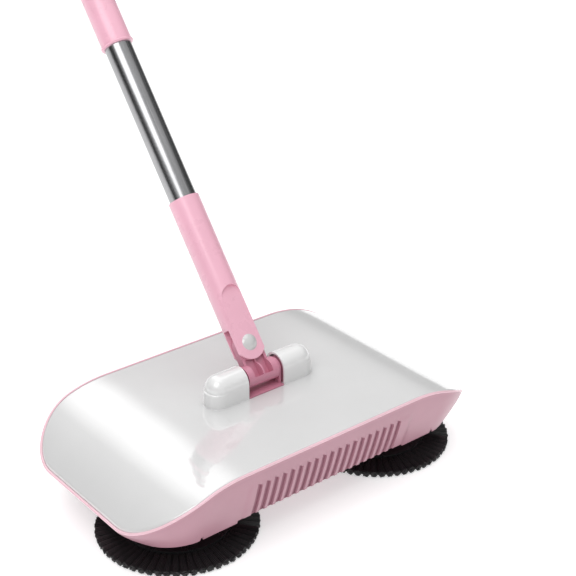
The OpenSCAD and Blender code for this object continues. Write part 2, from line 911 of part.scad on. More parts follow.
// Moulded sleeve that holds the tube, forked at its lower end around the yoke
module fork_socket() color(pink) on_handle() {
  slot = tongue_thickness / 2 + slot_gap;
  bottom = pin_reach - tongue_r;
  difference() {
    translate([0, 0, bottom])
      cylinder(r = sleeve_r, h = socket_end - bottom);
    translate([0, 0, tube_start])
      cylinder(r = tube_r, h = socket_end);
    box([-sleeve_r - over, -slot, bottom - over], [sleeve_r + over, slot, slot_end]);
    for (s = [-1, 1])
      mirror([0, s > 0 ? 1 : 0, 0])
        sloped_flat(bottom);
    translate([0, 0, pin_reach])
      rotate([90, 0, 0])
        cylinder(r = swivel_r, h = sleeve_d + over, center = true);
    tongue_corners(bottom);
  }
}

// Sloping flat with a round top, cut into one face of the sleeve
module sloped_flat(bottom) {
  half = sqrt(sleeve_r * sleeve_r - flat_top * flat_top) + 0.4;
  translate([0, -flat_offset, pin_reach])
    rotate([flat_slope, 0, 0]) {
      translate([-sleeve_r - over, -sleeve_r, bottom - pin_reach - 2 * over])
        cube([sleeve_d + 2 * over, sleeve_r, flat_length - half - bottom + pin_reach + 2 * over]);
      translate([0, 0, flat_length - half])
        rotate([90, 0, 0])
          cylinder(r = half, h = sleeve_r);
    }
}

// Rounds the lower end of both tongues about the swivel pin
module tongue_corners(bottom) {
  rotate([90, 0, 0])
    difference() {
      translate([-sleeve_r - over, bottom - over, -sleeve_r - over])
        cube([sleeve_d + 2 * over, tongue_r + over, sleeve_d + 2 * over]);
      translate([0, pin_reach, -sleeve_r - 2 * over])
        cylinder(r = tongue_r, h = sleeve_d + 4 * over);
    }
}

module swivel_pin() color(steel) on_handle() {
  translate([0, 0, pin_reach])
    rotate([90, 0, 0])
      cylinder(r = swivel_r, h = 2 * flat_offset - 1, center = true);
}

// Domed cap on the sloping flat, over one end of the swivel pin
module pin_cap() {
  cap_r = 7.3;
  rise = 2.6;
  ball = (cap_r * cap_r + rise * rise) / (2 * rise);
  translate([0, -flat_offset, pin_reach])
    rotate([90 + flat_slope, 0, 0])
      intersection() {
        cylinder(r = cap_r, h = rise);
        translate([0, 0, rise - ball])
          sphere(ball);
      }
}
module front_pin_cap() color(white) on_handle() { pin_cap(); }
module rear_pin_cap() color(white) on_handle() mirror([0, 1, 0]) { pin_cap(); }

module tube(start, end) color(steel) on_handle() {
  ring(tube_r, tube_r - tube_wall, start, end);
}
module lower_tube() { tube(tube_start, connector_start + tube_insert); }
module middle_tube() { tube(connector_start + connector_length - tube_insert, second_start + tube_insert); }
module upper_tube() { tube(second_start + connector_length - tube_insert, grip_start + 60); }

// Moulded sleeve that joins two tubes, with a stop in the middle and a bead at each end
module connector(start) color(pink) on_handle() {
  end = start + connector_length;
  ring(sleeve_r, tube_r, start, end);
  ring(tube_r, tube_r - 3, start + tube_insert, end - tube_insert);
  for (z = [start + 1.5, end - 1.5])
    translate([0, 0, z])
      rotate_extrude()
        translate([sleeve_r, 0])
          circle(1);
}
module lower_connector() { connector(connector_start); }
module upper_connector() { connector(second_start); }

module grip() color(pink) on_handle() {
  end = handle_length - cap_length;
  difference() {
    translate([0, 0, grip_start])
      rotate_extrude()
        polygon(concat(
          [[0, 0]],
          [for (i = [0 : 24])
            let (t = i / 24) [grip_r - 1 + sin(t * 720 - 90) * 0.8, t * (end - grip_start)]],
          [[0, end - grip_start]]
        ));
    translate([0, 0, grip_start - over])
      cylinder(r = tube_r, h = 61);
  }
}

// Flattened end with a hole to hang the sweeper by
module grip_end_cap() color(white) on_handle() {
  low = handle_length - cap_length;
  half = 5;
  difference() {
    union() {
      translate([0, 0, low])
        cylinder(r = grip_r - 1, h = 2);
      box([-11, -half, low], [11, half, handle_length - 11]);
      translate([0, 0, handle_length - 11])
        rotate([90, 0, 0])
          cylinder(r = 11, h = 2 * half, center = true);
    }
    translate([0, 0, handle_length - hang_hole_drop])
      rotate([90, 0, 0])
        cylinder(r = hang_hole_r, h = 30, center = true);
    box([-20, -20, low - 20], [20, 20, low]);
  }
}

// The origin lies on the floor under the middle of the whole sweeper
translate([0, -frame_y, 0]) {
  top_cover();
  lower_housing();
  chassis_plate();
  hinge_base();
  left_hinge_cap();
  right_hinge_cap();
  hinge_screws();
  chassis_screws();
  left_axle_bearing();
  right_axle_bearing();
  left_roller_bearing();
  right_roller_bearing();
  idler_pin();
  mouth_lip();
  drive_belt();
  left_shaft_bearing();
  right_shaft_bearing();
  left_brush_bush();
  right_brush_bush();
  left_bin_rail();
  right_bin_rail();
  drive_axle();
  left_wheel();
  right_wheel();
  left_tyre();
  right_tyre();
  axle_gear();
  idler_gear();
  roller_shaft();
  roller_core();
  roller_bristles();
  roller_gear();
  roller_pulley();
  cross_shaft();
  cross_pulley();
  left_pinion();
  right_pinion();
  left_brush_hub();
  left_brush_bristles();
  left_spindle();
  left_crown_gear();
  right_brush_hub();
  right_brush_bristles();
  right_spindle();
  right_crown_gear();
  dust_bin();
  yoke();
  fork_socket();
  swivel_pin();
  front_pin_cap();
  rear_pin_cap();
  lower_tube();
  middle_tube();
  upper_tube();
  lower_connector();
  upper_connector();
  grip();
  grip_end_cap();
}
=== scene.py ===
import json
import math
import random

import bpy
from mathutils import Matrix, Vector


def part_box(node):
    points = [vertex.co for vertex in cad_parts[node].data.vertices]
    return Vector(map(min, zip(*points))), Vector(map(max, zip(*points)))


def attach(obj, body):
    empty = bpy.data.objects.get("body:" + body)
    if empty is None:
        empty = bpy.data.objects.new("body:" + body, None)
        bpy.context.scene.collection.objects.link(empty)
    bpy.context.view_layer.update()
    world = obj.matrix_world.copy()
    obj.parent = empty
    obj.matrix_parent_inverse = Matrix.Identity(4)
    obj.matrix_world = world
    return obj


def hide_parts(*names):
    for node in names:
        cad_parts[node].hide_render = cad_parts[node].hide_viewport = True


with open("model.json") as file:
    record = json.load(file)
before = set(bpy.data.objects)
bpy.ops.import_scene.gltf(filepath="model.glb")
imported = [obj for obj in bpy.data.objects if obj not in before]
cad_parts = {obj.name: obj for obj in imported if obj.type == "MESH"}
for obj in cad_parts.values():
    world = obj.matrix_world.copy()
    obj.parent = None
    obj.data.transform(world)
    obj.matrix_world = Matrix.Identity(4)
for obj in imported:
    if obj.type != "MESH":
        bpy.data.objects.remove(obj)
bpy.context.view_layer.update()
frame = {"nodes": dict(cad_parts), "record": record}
NODES = frame["nodes"]

# Millimetre frame of the head: X along it, -Y its front, Z up, origin on the floor under it
cover_low, cover_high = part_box("top_cover")
HEAD_Y = (cover_low.y + cover_high.y) / 2
MM = 0.001


def place(p):
    return Vector((p[0] * MM, p[1] * MM + HEAD_Y, p[2] * MM))


# ---------------------------------------------------------------- materials


def linear(r, g, b):
    return tuple(((c / 255 + 0.055) / 1.055) ** 2.4 if c > 10 else c / 255 / 12.92 for c in (r, g, b))


class Nodes:
    def __init__(self, name):
        self.mat = bpy.data.materials.new(name)
        self.mat.use_nodes = True
        self.tree = self.mat.node_tree
        self.bsdf = self.tree.nodes["Principled BSDF"]
        self.coords = self.tree.nodes.new("ShaderNodeTexCoord").outputs["Object"]

    def link(self, a, b):
        self.tree.links.new(a, b)

    def scaled(self, scale):
        m = self.tree.nodes.new("ShaderNodeMapping")
        m.inputs["Scale"].default_value = scale if isinstance(scale, tuple) else (scale,) * 3
        self.link(self.coords, m.inputs["Vector"])
        return m.outputs["Vector"]

    def noise(self, scale, detail=4.0, rough=0.5):
        n = self.tree.nodes.new("ShaderNodeTexNoise")
        n.inputs["Scale"].default_value = 1.0
        n.inputs["Detail"].default_value = detail
        n.inputs["Roughness"].default_value = rough
        self.link(self.scaled(scale), n.inputs["Vector"])
        return n.outputs["Fac"]

    def ramp(self, fac, stops):
        r = self.tree.nodes.new("ShaderNodeValToRGB")
        e = r.color_ramp.elements
        e[0].position, e[1].position = stops[0][0], stops[-1][0]
        for pos, _ in stops[1:-1]:
            e.new(pos)
        for el, (_, col) in zip(e, stops):
            el.color = (*col, 1) if isinstance(col, tuple) else (col, col, col, 1)
        self.link(fac, r.inputs["Fac"])
        return r.outputs["Color"]

    def mix(self, fac, a, b, mode="MIX"):
        m = self.tree.nodes.new("ShaderNodeMix")
        m.data_type = "RGBA"
        m.blend_type = mode
        for sock, v in ((m.inputs[0], fac), (m.inputs[6], a), (m.inputs[7], b)):
            if isinstance(v, bpy.types.NodeSocket):
                self.link(v, sock)
            elif isinstance(v, tuple):
                sock.default_value = (*v, 1)
            else:
                sock.default_value = v
        return m.outputs[2]

    def bump(self, height, strength, distance, under=None):
        b = self.tree.nodes.new("ShaderNodeBump")
        b.inputs["Strength"].default_value = strength
        b.inputs["Distance"].default_value = distance
        self.link(height, b.inputs["Height"])
        if under is not None:
            self.link(under, b.inputs["Normal"])
        return b.outputs["Normal"]

    def edges(self, low, high):
        g = self.tree.nodes.new("ShaderNodeNewGeometry")
        return self.ramp(g.outputs["Pointiness"], [(low, 0.0), (high, 1.0)])

    def set(self, **values):
        for name, v in values.items():
            self.bsdf.inputs[name.replace("_", " ")].default_value = v


def shaded(n, base, light, dark, spots=3.0, worn=0.25):
    """Colour that drifts slowly over the piece in random patches, with faint pale flecks, and paler on
    rubbed edges.
    """
    drift = n.noise(18.0, 3.0)
    col = n.mix(n.ramp(drift, [(0.35, 0.0), (0.68, 1.0)]), dark, base)
    fleck = n.ramp(n.noise(900.0, 2.0), [(0.60, 0.0), (0.72, 1.0)])
    faint = n.tree.nodes.new("ShaderNodeMath")
    faint.operation = "MULTIPLY"
    faint.inputs[1].default_value = 0.05 * spots
    n.link(fleck, faint.inputs[0])
    col = n.mix(faint.outputs[0], col, light)
    rub = n.tree.nodes.new("ShaderNodeMath")
    rub.operation = "MULTIPLY"
    rub.inputs[1].default_value = worn
    n.link(n.edges(0.52, 0.60), rub.inputs[0])
    n.link(n.mix(rub.outputs[0], col, light), n.bsdf.inputs["Base Color"])


def roughness(n, low, high, scale=60.0):
    n.link(n.ramp(n.noise(scale, 5.0, 0.6), [(0.3, low), (0.7, high)]), n.bsdf.inputs["Roughness"])


def gloss_white(name, base, ior=1.65):
    n = Nodes(name)
    g = tuple(c * 0.97 for c in base)
    shaded(n, base, tuple(min(1, c * 1.06) for c in base), g, 0.4, 0.15)
    roughness(n, 0.16, 0.24, 40.0)
    n.link(n.bump(n.noise(55.0, 2.0), 0.03, 0.0004), n.bsdf.inputs["Normal"])
    n.set(Coat_Weight=1.0, Coat_Roughness=0.02, Coat_IOR=ior, IOR=1.5)
    return n.mat


def satin_pink(name, base, low=0.30, high=0.42, coat=0.25, worn=0.35):
    n = Nodes(name)
    shaded(n, base, tuple(min(1, c * 1.12 + 0.02) for c in base), tuple(c * 0.94 for c in base), 1.0, worn)
    roughness(n, low, high)
    fine = n.bump(n.noise(2600.0, 2.0), 0.10, 0.00006)
    n.link(n.bump(n.noise(140.0, 3.0), 0.05, 0.0003, fine), n.bsdf.inputs["Normal"])
    n.set(Coat_Weight=coat, Coat_Roughness=0.2, IOR=1.48)
    return n.mat


def matt(name, base, low=0.5, high=0.68, grain=1800.0, strength=0.2):
    n = Nodes(name)
    shaded(n, base, tuple(min(1, c * 1.25 + 0.01) for c in base), tuple(c * 0.86 for c in base), 1.0, 0.3)
    roughness(n, low, high, 90.0)
    n.link(n.bump(n.noise(grain, 3.0), strength, 0.0001), n.bsdf.inputs["Normal"])
    n.set(IOR=1.48)
    return n.mat


def brushed_steel(name, base, along, low, high):
    """Drawn steel: long fine scratches along the piece, with faint cloudy patches."""
    n = Nodes(name)
    line = n.tree.nodes.new("ShaderNodeMapping")
    line.vector_type = "TEXTURE"
    line.inputs["Rotation"].default_value = along
    line.inputs["Scale"].default_value = (0.00022, 0.00022, 0.06)
    n.link(n.coords, line.inputs["Vector"])
    scratch = n.tree.nodes.new("ShaderNodeTexNoise")
    scratch.inputs["Scale"].default_value = 1.0
    scratch.inputs["Detail"].default_value = 5.0
    n.link(line.outputs["Vector"], scratch.inputs["Vector"])
    fac = scratch.outputs["Fac"]
    dark = tuple(c * 0.86 for c in base)
    col = n.mix(n.ramp(fac, [(0.35, 0.0), (0.65, 1.0)]), dark, base)
    cloud = n.ramp(n.noise(30.0, 4.0), [(0.35, 0.93), (0.7, 1.0)])
    n.link(n.mix(1.0, col, cloud, "MULTIPLY"), n.bsdf.inputs["Base Color"])
    n.link(n.ramp(fac, [(0.3, low), (0.7, high)]), n.bsdf.inputs["Roughness"])
    n.link(n.bump(fac, 0.06, 0.00005), n.bsdf.inputs["Normal"])
    n.set(Metallic=1.0)
    return n.mat


def bristle_black(name, base):
    n = Nodes(name)
    shaded(n, base, tuple(c * 2.2 + 0.01 for c in base), tuple(c * 0.5 for c in base), 2.0, 0.2)
    roughness(n, 0.26, 0.40, 300.0)
    n.link(n.bump(n.noise((3000.0, 3000.0, 400.0), 2.0), 0.3, 0.0001), n.bsdf.inputs["Normal"])
    n.set(IOR=1.52)
    return n.mat


# Shell pink: the pink plastic set darker, painted shade for the front wall that leans in and faces away from
# the light
SHADED_PINK = linear(188, 140, 154)
LEAN = math.radians(39)
MAT = {
    # The cover: the domes' white set darker, painted shade for its up-facing top
    "cover": gloss_white("cover_white_painted_shade", (0.74, 0.74, 0.74), 1.95),
    "dome": gloss_white("dome_white", (0.88, 0.88, 0.88)),
    # Rim bead: the shell's pink made paler, a painted highlight for the up-facing bead
    "rim": satin_pink("rim_pink_painted_highlight", linear(246, 205, 216), 0.26, 0.36, 0.4),
    # Groove floors: the shell's pink set darker, painted shade in the recesses
    "groove": satin_pink("groove_pink_painted_shade", linear(158, 110, 125), 0.38, 0.5, 0.0),
    # Yoke and hinge base: the pink set darker, painted shade for their deep pockets
    "yoke": satin_pink("yoke_pink_painted_shade", linear(208, 138, 160), 0.30, 0.42, 0.2),
    "button": gloss_white("button_white", (0.66, 0.66, 0.66)),
    "pink": satin_pink("shell_pink_painted_shade", SHADED_PINK),
    "handle_pink": satin_pink("handle_pink", linear(247, 188, 207), 0.24, 0.34, 0.5, 0.0),
    "grip_pink": satin_pink("grip_pink", linear(232, 170, 190), 0.45, 0.58, 0.0),
    "chassis": matt("chassis_pink", linear(168, 120, 134)),
    "gear": matt("gear_acetal", (0.66, 0.65, 0.61), 0.35, 0.5),
    "hub": matt("hub_black", (0.012, 0.012, 0.013), 0.24, 0.38, 1200.0, 0.08),
    "bristle": bristle_black("bristle_black", (0.014, 0.014, 0.015)),
    "rubber": matt("rubber_black", (0.016, 0.016, 0.017), 0.6, 0.8, 1400.0, 0.35),
    "tube": brushed_steel("tube_steel", (0.44, 0.44, 0.45), (-LEAN, 0, 0), 0.18, 0.28),
    "steel": brushed_steel("pin_steel", (0.52, 0.52, 0.53), (0, math.radians(90), 0), 0.25, 0.4),
}
SLOT_MAT = {
    "white_cover": "dome", "pink_plastic": "pink", "chassis_plastic": "chassis",
    "gear_plastic": "gear", "black_plastic": "hub", "bristle": "bristle",
    "rubber": "rubber", "handle_steel": "tube", "steel": "steel",
}
# Nodes whose plastic differs from the rest of their slot; the yoke and hinge base take a darker copy of the
# pink, painted shade for their deep pockets
NODE_MAT = {
    "fork_socket": "handle_pink", "lower_connector": "handle_pink", "upper_connector": "handle_pink",
    "yoke": "yoke", "hinge_base": "yoke", "front_pin_cap": "button", "rear_pin_cap": "button",
    "grip": "grip_pink",
}
for part in frame["record"]["subparts"]:
    node = NODES[part["node"]]
    key = NODE_MAT.get(part["node"], SLOT_MAT[part["material_slot"]])
    if not node.data.materials:
        node.data.materials.append(MAT[key])
    for i in range(len(node.data.materials)):
        node.data.materials[i] = MAT[key]

# ---------------------------------------------------------------- mesh helpers


def piece(name, points, faces, mat, body, stands_for=(), sharp=35, flat=False):
    mesh = bpy.data.meshes.new(name)
    mesh.from_pydata([place(p) for p in points], [], faces)
    mesh.validate()
    mesh.materials.append(MAT[mat])
    for poly in mesh.polygons:
        poly.use_smooth = not flat
    if not flat:
        mesh.set_sharp_from_angle(angle=math.radians(sharp))
    obj = bpy.data.objects.new(name, mesh)
    bpy.context.scene.collection.objects.link(obj)
    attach(obj, body)
    if stands_for:
        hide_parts(*stands_for)
    return obj


class Grid:
    """Points and faces of sheets and tubes that share one mesh."""

    def __init__(self):
        self.points, self.faces = [], []

    def sheet(self, rows, closed=False, flip=False):
        base, width = len(self.points), len(rows[0])
        for row in rows:
            self.points += row
        for i in range(len(rows) - 1):
            for j in range(width if closed else width - 1):
                k = (j + 1) % width
                near, far = base + i * width, base + (i + 1) * width
                quad = [near + j, near + k, far + k, far + j]
                self.faces.append(quad[::-1] if flip else quad)
        return base

    def cap(self, ring, flip=False):
        base = len(self.points)
        self.points += ring
        face = list(range(base, base + len(ring)))
        self.faces.append(face[::-1] if flip else face)


def lerp(a, b, t):
    return a + (b - a) * t


def smooth(t):
    t = max(0.0, min(1.0, t))
    return t * t * (3 - 2 * t)


# ---------------------------------------------------------------- head shell

HALF_L = (cover_high.x - cover_low.x) / 2 / MM + 2.25
HALF_W = (cover_high.y - cover_low.y) / 2 / MM + 2.25
RIM_Z = cover_high.z / MM
CORNER, DROP, FLAT, EDGE_Z = 54.0, 38.2, 90.5, 26.0
HINGE_Y, HINGE_Z = -0.5, 93.6


def rim_z(x):
    return RIM_Z - DROP * (max(0.0, abs(x) - FLAT) / (HALF_L - FLAT)) ** 2.2


def cover():
    inset = 2.3
    a, b, r = HALF_L - inset, HALF_W - inset, CORNER - inset
    edge = [0, 0.08, 0.25, 0.5, 0.8, 1.15, 1.6, 2.2, 3.2, 5, 8, 12]
    corner_xs = {a - r * (1 - math.cos(math.radians(t))) for t in range(6, 91, 3)}
    slope_xs = {80 + i * 6 for i in range(10)}
    xs = sorted({a - d for d in edge} | corner_xs | slope_xs | {6.0, 19.0, 30.0, 42.0, 55.0, 68.0})
    xs = [x for i, x in enumerate(xs) if i == 0 or x - xs[i - 1] > 0.05]
    xs = [-x for x in reversed(xs)] + xs
    inner = [-76, -62, -48, -36, -26, -18, -13.3, -6, 0, 6, 12.3, 18, 26, 36, 48, 62, 76]

    def half(x):
        over = abs(x) - (a - r)
        return b if over <= 0 else b - r + math.sqrt(max(0.0, r * r - over * over))

    def top(x, y, h):
        d = min(h - abs(y), a - abs(x))
        if abs(x) > a - r and abs(y) > b - r:
            d = r - math.hypot(abs(x) - (a - r), abs(y) - (b - r))
        d = max(0.0, d)
        fillet = 1.6
        fall = 0.0 if d >= fillet else fillet - math.sqrt(max(0.0, fillet * fillet - (fillet - d) ** 2))
        crown = 0.7 * (1 - smooth(d / 16))
        return rim_z(x) - fall - crown * 0.35

    rows = []
    for x in xs:
        h = half(x)
        k = h / b
        ys = [-(h - d * k) for d in edge] + [y * k for y in inner] + [h - d * k for d in reversed(edge)]
        rows.append([(x, y, top(x, y, h)) for y in ys])
    g = Grid()
    n, m = len(rows), len(rows[0])
    g.sheet(rows, flip=True)
    skin, edge_skin = 2.0, 1.2
    under = [[(x, y * 0.999, z - (skin if 0 < i < n - 1 and 0 < j < m - 1 else edge_skin))
              for j, (x, y, z) in enumerate(row)] for i, row in enumerate(rows)]
    start = g.sheet(under)
    ring = [j for j in range(m)] + [i * m + m - 1 for i in range(1, n)]
    ring += [(n - 1) * m + j for j in range(m - 2, -1, -1)] + [i * m for i in range(n - 2, 0, -1)]
    for i, a0 in enumerate(ring):
        b0 = ring[(i + 1) % len(ring)]
        g.faces.append([a0, b0, start + b0, start + a0][::-1])
    # The opening over the hinge base
    open_half, open_front, open_rear = 19.0, -13.3, 12.3

    def over_base(f):
        cx = sum(g.points[i][0] for i in f) / len(f)
        cy = sum(g.points[i][1] for i in f) / len(f)
        return abs(cx) < open_half and open_front < cy < open_rear and max(g.points[i][2] for i in f) > 70

    g.faces = [f for f in g.faces if not over_base(f)]
    piece("cover_shell", g.points, g.faces, "cover", "head", ["top_cover"], 40)


GROOVES, PITCH, GROOVE_HALF = 19, 8.4, 2.6


def grille(x, z):
    """How far the front wall stands out: ribs proud of it, grooves sunk in it."""
    top, half = 62.0, GROOVE_HALF
    out = 0.6 * smooth((88.7 - abs(x - 2.75)) / 1.2) * smooth((top + 1.6 - z) / 1.6)
    near = round(x / PITCH + (GROOVES - 1) / 2)
    if 0 <= near < GROOVES:
        d = abs(x - (near - (GROOVES - 1) / 2) * PITCH)
        crown = max(0.0, (z - (top - 1.6)) / 1.6)
        width = half * math.sqrt(max(0.0, 1 - crown * crown)) if crown < 1 else 0
        if width > 0:
            out -= 2.3 * smooth((width - d) / 0.4)
    return out


def outline():
    """Round the rim from the middle of the back: (x, y, normal x, normal y, corner turn 0..1)."""
    pts = []
    xs = set()
    for i in range(GROOVES):
        c = (i - (GROOVES - 1) / 2) * PITCH
        xs |= {c + s * (GROOVE_HALF - k) for s in (-1, 1) for k in (0.0, 0.12, 0.28, 0.4)} | {c, c + 4.2}
    xs |= {-82.0, -84.8, -86.0, -89.5, -91.0, -91.2, 82.5, 86.5, 90.2, 91.0, 91.2, 91.5}
    xs |= {s * v for s in (-1, 1) for v in (96, 102, 108, 114, 120, 124.7, 125.0, 127.6, 127.9, 130)}
    front = sorted(x for x in xs if abs(x) <= HALF_L - CORNER)
    for x in front:
        pts.append((x, -HALF_W, 0.0, -1.0, 0.0))
    arc = [math.radians(t) for t in range(3, 88, 3)]

    def corner(t, way):
        nx, ny = math.sin(t), way * math.cos(t)
        x, y = HALF_L - CORNER + CORNER * nx, way * (HALF_W - CORNER) + CORNER * ny
        return x, y, nx, ny, t / (math.pi / 2)

    pts += [corner(t, -1) for t in arc]
    n_end = 10
    for i in range(n_end + 1):
        pts.append((HALF_L, lerp(-HALF_W + CORNER, HALF_W - CORNER, i / n_end), 1.0, 0.0, 1.0))
    pts += [corner(t, 1) for t in reversed(arc)]
    back = [128, 124.0, 123.8, 118, 112, 104, 97.5, 96.2, 95.6, 95.5, 92, 80, 66, 52, 38, 24, 10]
    for x in back + [-v for v in reversed(back)]:
        pts.append((x, HALF_W, 0.0, 1.0, 0.0))
    left = [(-x, y, -nx, ny, c) for x, y, nx, ny, c in pts[len(front):len(front) + 2 * len(arc) + n_end + 1]]
    pts += left[::-1]
    return pts


def wall_inset(x, turn, h):
    """How far the wall stands in from the rim, h below it."""
    share = max(0.0, h - 2.5) / (rim_z(x) - EDGE_Z - 2.5)
    lean = lerp(14.0, 12.8, turn) + 1.2 * math.sin(math.pi * turn)
    return 0.98 + lean * share ** 1.3


def plate():
    """The chassis plate, its rim drawn in to sit inside the shell's wall."""
    node = NODES["chassis_plate"]
    g = Grid()
    for v in node.data.vertices:
        w = node.matrix_world @ v.co
        x, y, z = w.x / MM, (w.y - HEAD_Y) / MM, w.z / MM
        ax, ay = abs(x), abs(y)
        dx, dy = ax - (HALF_L - CORNER), ay - (HALF_W - CORNER)
        if dx > 0 and dy > 0:
            far = math.hypot(dx, dy)
            most = CORNER - 3.2 - wall_inset(ax, math.atan2(dx, dy) / (math.pi / 2), rim_z(ax) - z)
            if far > most:
                ax, ay = ax - dx + dx * most / far, ay - dy + dy * most / far
        elif dx <= 0:
            ay = min(ay, HALF_W - 3.0 - wall_inset(ax, 0.0, rim_z(ax) - z))
        g.points.append((math.copysign(ax, x), math.copysign(ay, y), z))
    g.faces = [list(f.vertices) for f in node.data.polygons]
    piece("chassis_panel", g.points, g.faces, "chassis", "head", ["chassis_plate"], 32)


def housing():
    # The rim's bead (inset, depth), then the shares of the wall's depth below it
    rim = [(2.25, 2.4), (2.22, 0.5), (1.9, 0.12), (1.45, -0.02), (0.95, 0.0), (0.5, 0.22),
           (0.16, 0.62), (0.02, 1.1), (0.1, 1.6), (0.34, 2.0), (0.72, 2.3), (0.98, 2.5)]
    qs = [0.0, 0.03, 0.08, 0.14, 0.2, 0.26, 0.32, 0.345, 0.36, 0.375, 0.39, 0.405,
          0.43, 0.5, 0.58, 0.66, 0.74, 0.82, 0.9, 0.955, 0.985, 1.0]
    ring = outline()
    rows = []

    def low_edge(x, y, turn):
        if y > HALF_W - 1 and abs(x) <= 95.5:
            return 70.5
        if y > 0 and 123.9 < abs(x) < 146.0:
            return EDGE_Z + 9
        if y < -HALF_W + 1:
            if -91.1 < x < 91.1:
                return EDGE_Z + 3.0
            if 124.9 < abs(x) < 127.7:
                return EDGE_Z + 3.4
        return EDGE_Z - 1.2 * turn

    def station(x, y, nx, ny, turn, inset, h):
        return (x - nx * inset, y - ny * inset, rim_z(x) - h)

    def wall(x, y, turn, q):
        h = lerp(2.5, rim_z(x) - low_edge(x, y, turn), q)
        return wall_inset(x, turn, h), h

    for inset, h in rim:
        rows.append([station(*p, inset, h) for p in ring])
    for q in qs:
        row = []
        for x, y, nx, ny, turn in ring:
            inset, h = wall(x, y, turn, q)
            z = rim_z(x) - h
            if y < -HALF_W + 1:
                inset -= grille(x, z)
                if q > 0.94 and abs(x) > 91.1:
                    inset -= 0.35
            row.append(station(x, y, nx, ny, turn, inset, h))
        rows.append(row)
    for q, skin in ((1.0, 0.5), (0.97, 2.4), (0.7, 2.5), (0.4, 2.5), (0.1, 2.5), (0.0, 2.5)):
        row = []
        for x, y, nx, ny, turn in ring:
            inset, h = wall(x, y, turn, q)
            row.append(station(x, y, nx, ny, turn, inset + skin, h + (1.0 if q == 0 else 0)))
        rows.append(row)
    rows.append([station(*p, 5.0, 3.0) for p in ring])
    rows.append([station(*p, 5.0, 2.4) for p in ring])
    rows.append([station(*p, 2.25, 2.4) for p in ring])
    g = Grid()
    g.sheet(rows, closed=True)
    # Screw posts inside
    for x, y in ((118, 84), (-118, 84), (62, -84), (-62, -84)):
        turns = [t * math.pi / 12 for t in range(24)]
        rings = [[(x + r * math.cos(t), y + r * math.sin(t), z) for t in turns]
                 for r, z in ((1.4, 50), (1.4, 36), (4.2, 36), (4.5, 36.4), (4.5, 69.8))]
        g.sheet(rings, closed=True, flip=True)
    shell = piece("housing_shell", g.points, g.faces, "pink", "head", ["lower_housing"], 32)
    shell.data.materials.append(MAT["rim"])
    shell.data.materials.append(MAT["groove"])
    wide = len(ring)
    for f in shell.data.polygons:
        row, j = divmod(f.index, wide)
        # Rows of the bead take the paler pink, a painted highlight on the up-facing bead
        if row < len(rim) - 4:
            f.material_index = 1
        elif row < len(rim) + len(qs) - 1:
            xa, xb = ring[j][0], ring[(j + 1) % wide][0]
            mid = (xa + xb) / 2
            low = min(g.points[k][2] for k in g.faces[f.index])
            # Groove floors on the front wall take the darker pink, painted shade in the recesses
            if ring[j][1] < -HALF_W + 1 and grille(mid, low) < -1.2:
                f.material_index = 2


# ---------------------------------------------------------------- domes

GAP = 19.3


def dome(side, name, node):
    r, foot_c, top_c, rc = 12.7, 43.5, 42.3, 12.64
    # Half width, centre of the round end and height of each ring, from the foot up to the crease
    stack = [(r + 0.25, foot_c, 79.6), (r + 0.05, foot_c, 80.3), (r, foot_c, 81.2),
             (r, foot_c, 86), (r, foot_c, 91.8), (r - 0.01, foot_c - 0.05, 92.4),
             (r - 0.02, foot_c - 0.2, 92.8), (r - 0.04, foot_c - 0.5, 93.1),
             (rc, lerp(foot_c, top_c, 0.7), 93.25), (rc, top_c, 93.4)]
    for i in range(1, 19):
        t = math.radians(i * 5)
        stack.append((rc * math.cos(t) + (0.02 if i == 18 else 0), top_c, HINGE_Z + rc * math.sin(t)))
    arcs = 28

    def ring(w, cx, z):
        pts = []
        for i in range(9):
            pts.append((lerp(GAP, cx, i / 9), -w, z))
        for i in range(arcs + 1):
            t = -math.pi / 2 + math.pi * i / arcs
            pts.append((cx + w * math.cos(t), w * math.sin(t), z))
        for i in range(8, -1, -1):
            pts.append((lerp(GAP, cx, i / 9), w, z))
        return [(side * x, HINGE_Y + y, zz) for x, y, zz in pts]

    g = Grid()
    g.sheet([ring(*s) for s in stack], flip=side < 0)

    def arch(x, shrink, low):
        rr = r - 0.2 - shrink
        pts = [(x, -rr, low)] + [(x, -rr, z) for z in (86.0, 91.8)]
        turns = [math.radians(t) for t in range(0, 181, 6)]
        pts += [(x, -rr * math.cos(t), HINGE_Z + rr * math.sin(t)) for t in turns]
        pts += [(x, rr, z) for z in (91.8, 86.0)] + [(x, rr, low)]
        return [(side * px, HINGE_Y + py, pz) for px, py, pz in pts]

    # The inner face: a thin rim around a recess
    recess = arch(GAP + 7, 1.9, 80.2)
    g.sheet([arch(GAP + 0.35, -0.2, 79.6), arch(GAP, 0.1, 79.6), arch(GAP, 1.5, 80.2),
             arch(GAP + 0.25, 1.75, 80.2), recess], flip=side < 0)
    g.cap(recess, flip=side > 0)
    piece(name, g.points, g.faces, "dome", "head", [node], 34)


# ---------------------------------------------------------------- brushes


def filament(g, path, r0, r1, sides=5):
    rows = []
    turns = [2 * math.pi * k / sides for k in range(sides)]
    for i, p in enumerate(path):
        a = path[max(0, i - 1)]
        b = path[min(len(path) - 1, i + 1)]
        d = (Vector(b) - Vector(a)).normalized()
        u = d.orthogonal().normalized()
        v = d.cross(u)
        r = lerp(r0, r1, i / (len(path) - 1))
        rows.append([tuple(Vector(p) + (u * math.cos(t) + v * math.sin(t)) * r) for t in turns])
    g.sheet(rows, closed=True)
    g.cap(rows[-1])


